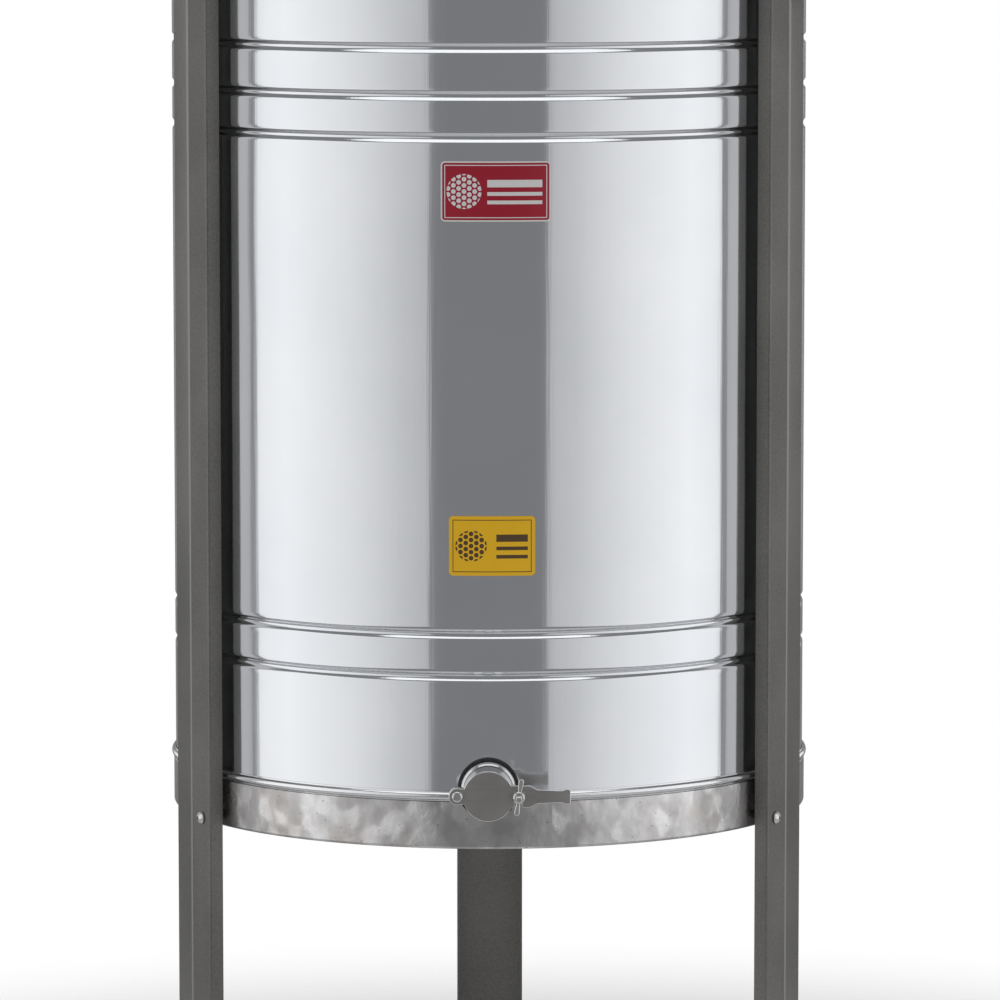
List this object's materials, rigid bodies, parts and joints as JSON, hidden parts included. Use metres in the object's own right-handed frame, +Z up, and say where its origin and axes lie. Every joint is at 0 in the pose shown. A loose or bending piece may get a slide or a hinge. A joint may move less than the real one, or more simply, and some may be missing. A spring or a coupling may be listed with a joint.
{
  "type": "honey extractor",
  "caption": "Tall steel drum on three channel legs with a honey gate, half-moon lids, a hand crank, bevel gears and a turning reel for framed honeycomb.",
  "frame": {"origin": "on the floor, under the middle of the whole machine's box; the drum's axis is at x -0.0590, y 0.0115", "axes": "+Z up along the drum, -Y towards the front with the honey gate, +X to the crank side"},
  "size_m": [0.7786, 0.7426, 1.4446],
  "materials": {
    "drum_steel": "smooth rolled stainless sheet, clear and slightly blue",
    "sheet_steel": "brushed stainless sheet",
    "galvanised": "mottled hot-dip zinc coating, dulled",
    "leg_paint": "warm grey metallic paint, semi-gloss",
    "fasteners": "bright zinc plate",
    "gate_chrome": "polished chrome on cast metal",
    "gate_steel": "turned and polished plate",
    "seal_rubber": "black moulded rubber",
    "red_vinyl": "semi-gloss printed label",
    "yellow_vinyl": "semi-gloss printed label",
    "bearing_bronze": "turned bronze, oiled",
    "bearing_paint": "dark hammered paint on cast iron",
    "bearing_nylon": "machined white nylon",
    "reel_steel": "welded stainless bar and wire",
    "gear_iron": "machined, oiled",
    "crank_steel": "drawn bar",
    "grip_wood": "varnished turned beech",
    "knob_plastic": "moulded black"
  },
  "bodies": {
    "frame": {"drum_wall": "drum_steel", "drum_floor": "sheet_steel", "base_skirt": "galvanised", "seam_ring": "drum_steel", "leg_left": "leg_paint", "foot_plate_left": "leg_paint", "lower_bolt_left": "fasteners", "leg_spacer_left": "fasteners", "upper_bolt_left": "fasteners", "leg_right": "leg_paint", "foot_plate_right": "leg_paint", "lower_bolt_right": "fasteners", "leg_spacer_right": "fasteners", "upper_bolt_right": "fasteners", "leg_back": "leg_paint", "foot_plate_back": "leg_paint", "lower_bolt_back": "fasteners", "leg_spacer_back": "fasteners", "upper_bolt_back": "fasteners", "gate_gasket": "seal_rubber", "gate_body": "gate_chrome", "gate_pivot_bolt": "fasteners", "gate_stud": "fasteners", "red_label": "red_vinyl", "yellow_label": "yellow_vinyl", "crossbar": "sheet_steel", "crossbar_bolt_left": "fasteners", "crossbar_bolt_right": "fasteners", "lid_hinge_pin_front": "fasteners", "lid_hinge_pin_back": "fasteners", "top_bearing": "bearing_bronze", "crank_bearing_inner": "bearing_paint", "crank_bearing_outer": "bearing_paint", "gear_guard": "sheet_steel", "footstep_bearing": "bearing_nylon"},
    "reel": {"reel_shaft": "reel_steel", "top_spider": "reel_steel", "bottom_spider": "reel_steel", "corner_post_1": "reel_steel", "corner_post_2": "reel_steel", "corner_post_3": "reel_steel", "corner_post_4": "reel_steel", "screen_1": "reel_steel", "screen_2": "reel_steel", "screen_3": "reel_steel", "screen_4": "reel_steel", "reel_pinion": "gear_iron", "shaft_collar": "reel_steel"},
    "crank": {"crank_shaft": "crank_steel", "crank_gear": "gear_iron", "crank_arm": "crank_steel"},
    "grip": {"crank_grip": "grip_wood"},
    "front_lid": {"lid_front": "sheet_steel", "lid_knob_front": "knob_plastic"},
    "back_lid": {"lid_back": "sheet_steel", "lid_knob_back": "knob_plastic"},
    "blade": {"gate_blade": "gate_steel"},
    "clamp_nut": {"wing_nut": "fasteners"}
  },
  "joints": [
    {"name": "reel_spin", "type": "hinge", "parent": "frame", "child": "reel", "pos_m": [-0.05905, 0.0115, 0.9], "axis": [0, 0, 1], "continuous": true},
    {"name": "crank_turn", "type": "hinge", "parent": "frame", "child": "crank", "pos_m": [-0.05905, 0.0115, 1.37497], "axis": [1, 0, 0], "continuous": true},
    {"name": "grip_spin", "type": "hinge", "parent": "crank", "child": "grip", "pos_m": [-0.05905, 0.0115, 1.22497], "axis": [1, 0, 0], "continuous": true},
    {"name": "lid_front_hinge", "type": "hinge", "parent": "frame", "child": "front_lid", "pos_m": [-0.05905, -0.07, 1.2835], "axis": [-1, 0, 0], "range_deg": [0, 95]},
    {"name": "lid_back_hinge", "type": "hinge", "parent": "frame", "child": "back_lid", "pos_m": [-0.05905, 0.093, 1.2835], "axis": [1, 0, 0], "range_deg": [0, 95]},
    {"name": "gate_swing", "type": "hinge", "parent": "frame", "child": "blade", "pos_m": [-0.08855, 0.0115, 0.461], "axis": [0, -1, 0], "range_deg": [0, 95]},
    {"name": "wing_nut_turn", "type": "hinge", "parent": "frame", "child": "clamp_nut", "pos_m": [-0.03005, 0.0115, 0.461], "axis": [0, -1, 0], "range_deg": [0, 720]}
  ],
  "couplings": [
    {"joint": "crank_turn", "follows": "reel_spin", "ratio": 0.33333}
  ]
}
